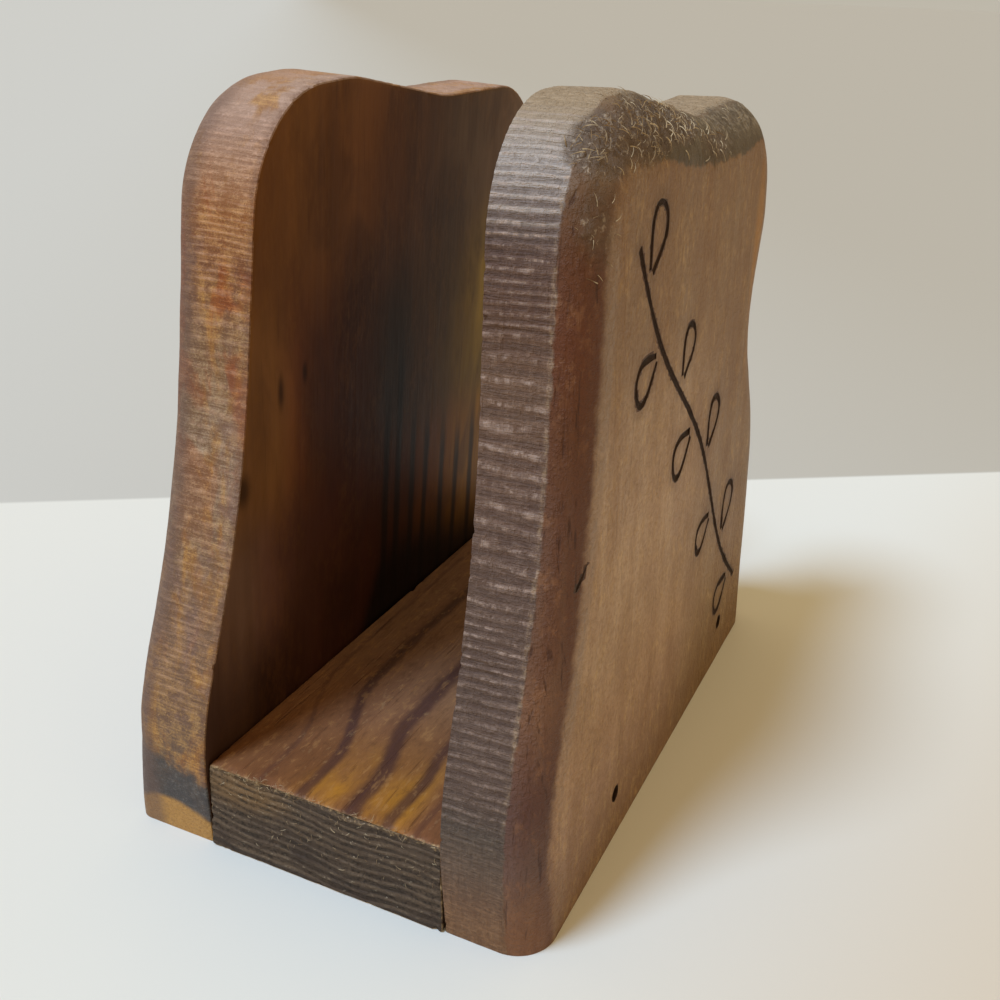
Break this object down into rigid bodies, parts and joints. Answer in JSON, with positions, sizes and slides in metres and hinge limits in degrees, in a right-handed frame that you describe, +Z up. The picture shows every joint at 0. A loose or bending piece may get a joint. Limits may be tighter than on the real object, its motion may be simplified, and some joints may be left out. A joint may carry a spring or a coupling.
{
  "type": "napkin holder",
  "caption": "Open-ended wooden napkin holder: a flat base board with a wavy-topped, waisted side board nailed upright to each long edge, leaning slightly inwards.",
  "frame": {"origin": "on the floor, in the middle of the holder's bounding box", "axes": "+Z up, +Y towards the back along the napkin slot, +X across the slot towards the right side board"},
  "size_m": [0.0906, 0.1477, 0.1448],
  "materials": {
    "base_wood": "scorched and oiled pine, dark latewood bands, rough sawn ends",
    "left_wood": "scorched and oiled pine, tan sawn edge, dark inner face",
    "right_wood": "scorched and oiled pine, grey sawn edge, olive brown face, charred top",
    "nail_steel": "dark bright-drawn wire, dulled"
  },
  "bodies": {
    "root": {"base_board": "base_wood", "left_side": "left_wood", "right_side": "right_wood", "nail_left_front": "nail_steel", "nail_left_rear": "nail_steel", "nail_right_front": "nail_steel", "nail_right_rear": "nail_steel"}
  },
  "joints": []
}
